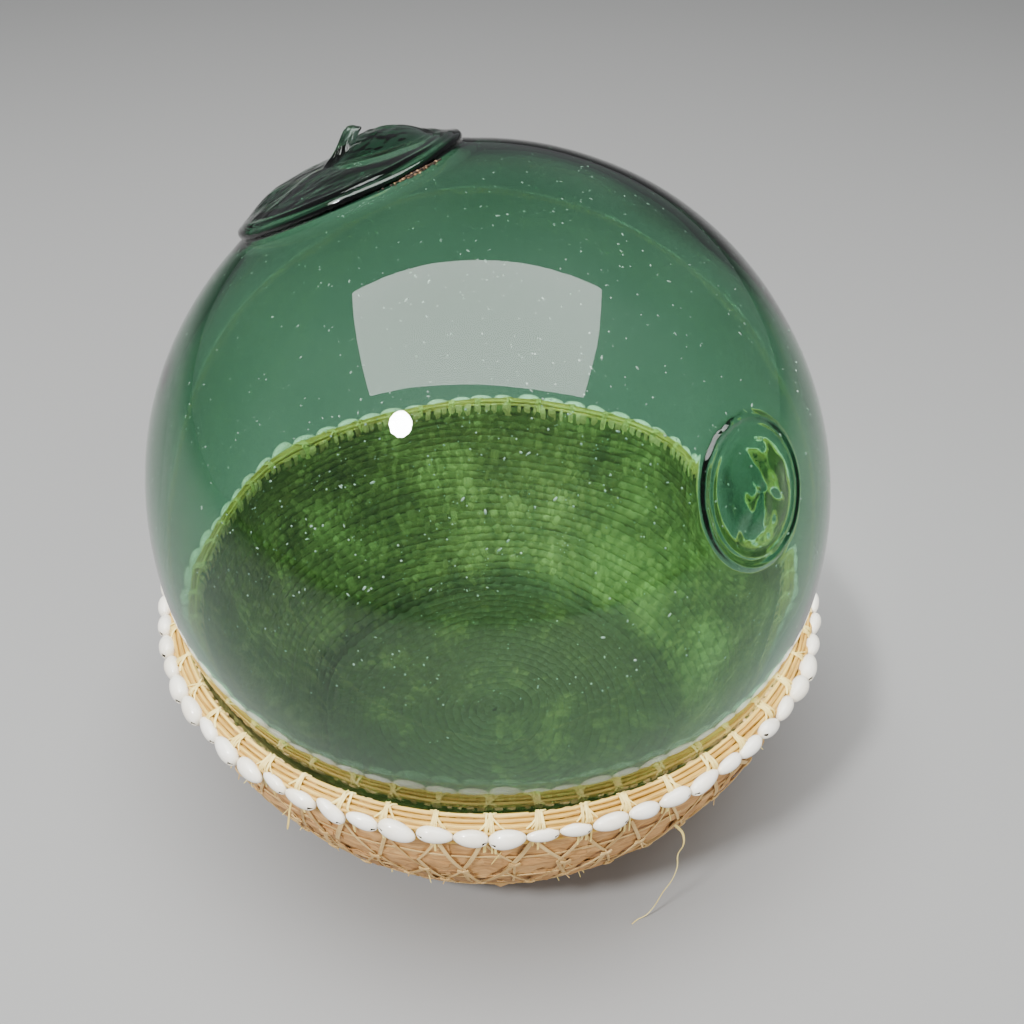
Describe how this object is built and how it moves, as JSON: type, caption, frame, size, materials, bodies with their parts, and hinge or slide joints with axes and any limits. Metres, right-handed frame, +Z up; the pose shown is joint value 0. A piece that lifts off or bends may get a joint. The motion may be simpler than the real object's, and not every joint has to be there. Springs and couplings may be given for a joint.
{
  "type": "glass float ball in a coiled basket",
  "caption": "Hand-blown green glass fishing float with a seal button and a side patch, resting in a shallow coiled fibre basket trimmed with white shells.",
  "frame": {"origin": "centre of the basket's flat underside, on the surface that it stands on", "axes": "+Z up along the basket's axis, -Y towards the front, where the side patch is at the right and the seal at the upper left"},
  "size_m": [0.3148, 0.3148, 0.3205],
  "materials": {
    "glass": "clear bottle-green blown glass with seed bubbles and fine scratches",
    "basket_leaf": "dry tan leaf strips and raffia over fibre coils",
    "reed": "smooth dry reed lashed with cream raffia",
    "shell": "polished ivory-white shell"
  },
  "bodies": {
    "root": {"glass_float": "glass", "basket": "basket_leaf", "rim_reed_1": "reed", "rim_reed_2": "reed", "rim_reed_3": "reed", "shell_01": "shell", "shell_02": "shell", "shell_03": "shell", "shell_04": "shell", "shell_05": "shell", "shell_06": "shell", "shell_07": "shell", "shell_08": "shell", "shell_09": "shell", "shell_10": "shell", "shell_11": "shell", "shell_12": "shell", "shell_13": "shell", "shell_14": "shell", "shell_15": "shell", "shell_16": "shell", "shell_17": "shell", "shell_18": "shell", "shell_19": "shell", "shell_20": "shell", "shell_21": "shell", "shell_22": "shell", "shell_23": "shell", "shell_24": "shell", "shell_25": "shell", "shell_26": "shell", "shell_27": "shell", "shell_28": "shell", "shell_29": "shell", "shell_30": "shell", "shell_31": "shell", "shell_32": "shell", "shell_33": "shell", "shell_34": "shell", "shell_35": "shell", "shell_36": "shell", "shells_37_38": "shell", "shells_39_40": "shell", "shells_41_42": "shell", "shells_43_44": "shell", "shells_45_46": "shell", "shells_47_48": "shell", "shells_49_50": "shell", "shells_51_52": "shell", "shells_53_54": "shell", "shells_55_56": "shell", "shells_57_58": "shell", "shells_59_60": "shell", "shells_61_62": "shell", "shells_63_64": "shell", "shells_65_66": "shell", "shells_67_68": "shell"}
  },
  "joints": []
}
